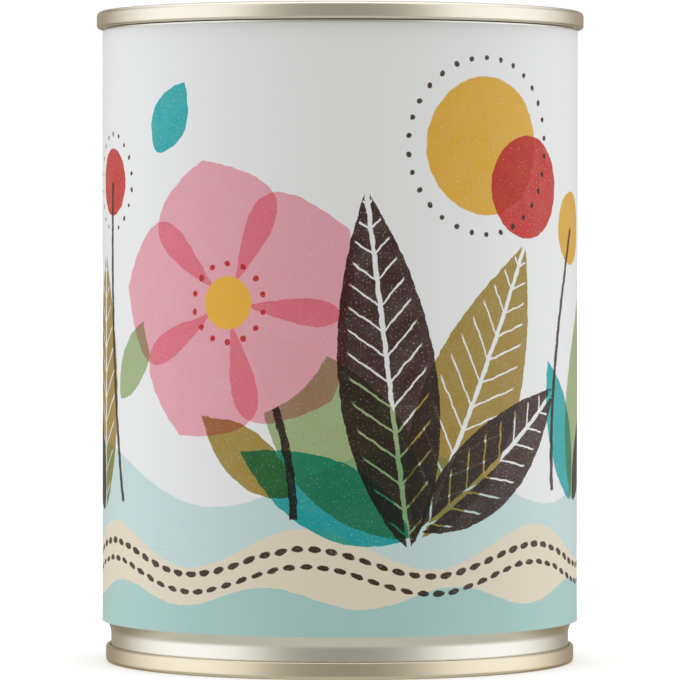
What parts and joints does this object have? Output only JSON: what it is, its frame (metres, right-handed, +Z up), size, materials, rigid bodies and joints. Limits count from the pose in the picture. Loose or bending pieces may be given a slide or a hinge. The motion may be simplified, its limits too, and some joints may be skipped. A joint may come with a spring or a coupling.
{
  "type": "food can",
  "caption": "Sealed cylindrical steel food can with double-seamed ends, a necked-in stacking foot, a wrap-around printed paper label and solid pieces inside.",
  "frame": {"origin": "centre of the circle on which the bottom rim stands", "axes": "+Z up along the can's axis; the front of the label faces -Y and its glued lap is on +Y"},
  "size_m": [0.087, 0.087, 0.1159],
  "materials": {
    "tinplate": "satin",
    "end_tinplate": "satin, under a clear gold-tinted lacquer",
    "label": "coated semi-gloss, printed",
    "compound": "matte",
    "fruit": "moist, fibrous"
  },
  "bodies": {
    "root": {"can_body": "tinplate", "top_end": "end_tinplate", "bottom_end": "end_tinplate", "top_sealing_ring": "compound", "bottom_sealing_ring": "compound", "paper_label": "label", "jackfruit_piece_01": "fruit", "jackfruit_piece_02": "fruit", "jackfruit_piece_03": "fruit", "jackfruit_piece_04": "fruit", "jackfruit_piece_05": "fruit", "jackfruit_piece_06": "fruit", "jackfruit_piece_07": "fruit", "jackfruit_piece_08": "fruit", "jackfruit_piece_09": "fruit", "jackfruit_piece_10": "fruit", "jackfruit_piece_11": "fruit", "jackfruit_piece_12": "fruit", "jackfruit_piece_13": "fruit", "jackfruit_piece_14": "fruit", "jackfruit_piece_15": "fruit", "jackfruit_piece_16": "fruit", "jackfruit_piece_17": "fruit", "jackfruit_piece_18": "fruit", "jackfruit_piece_19": "fruit", "jackfruit_piece_20": "fruit"}
  },
  "joints": []
}
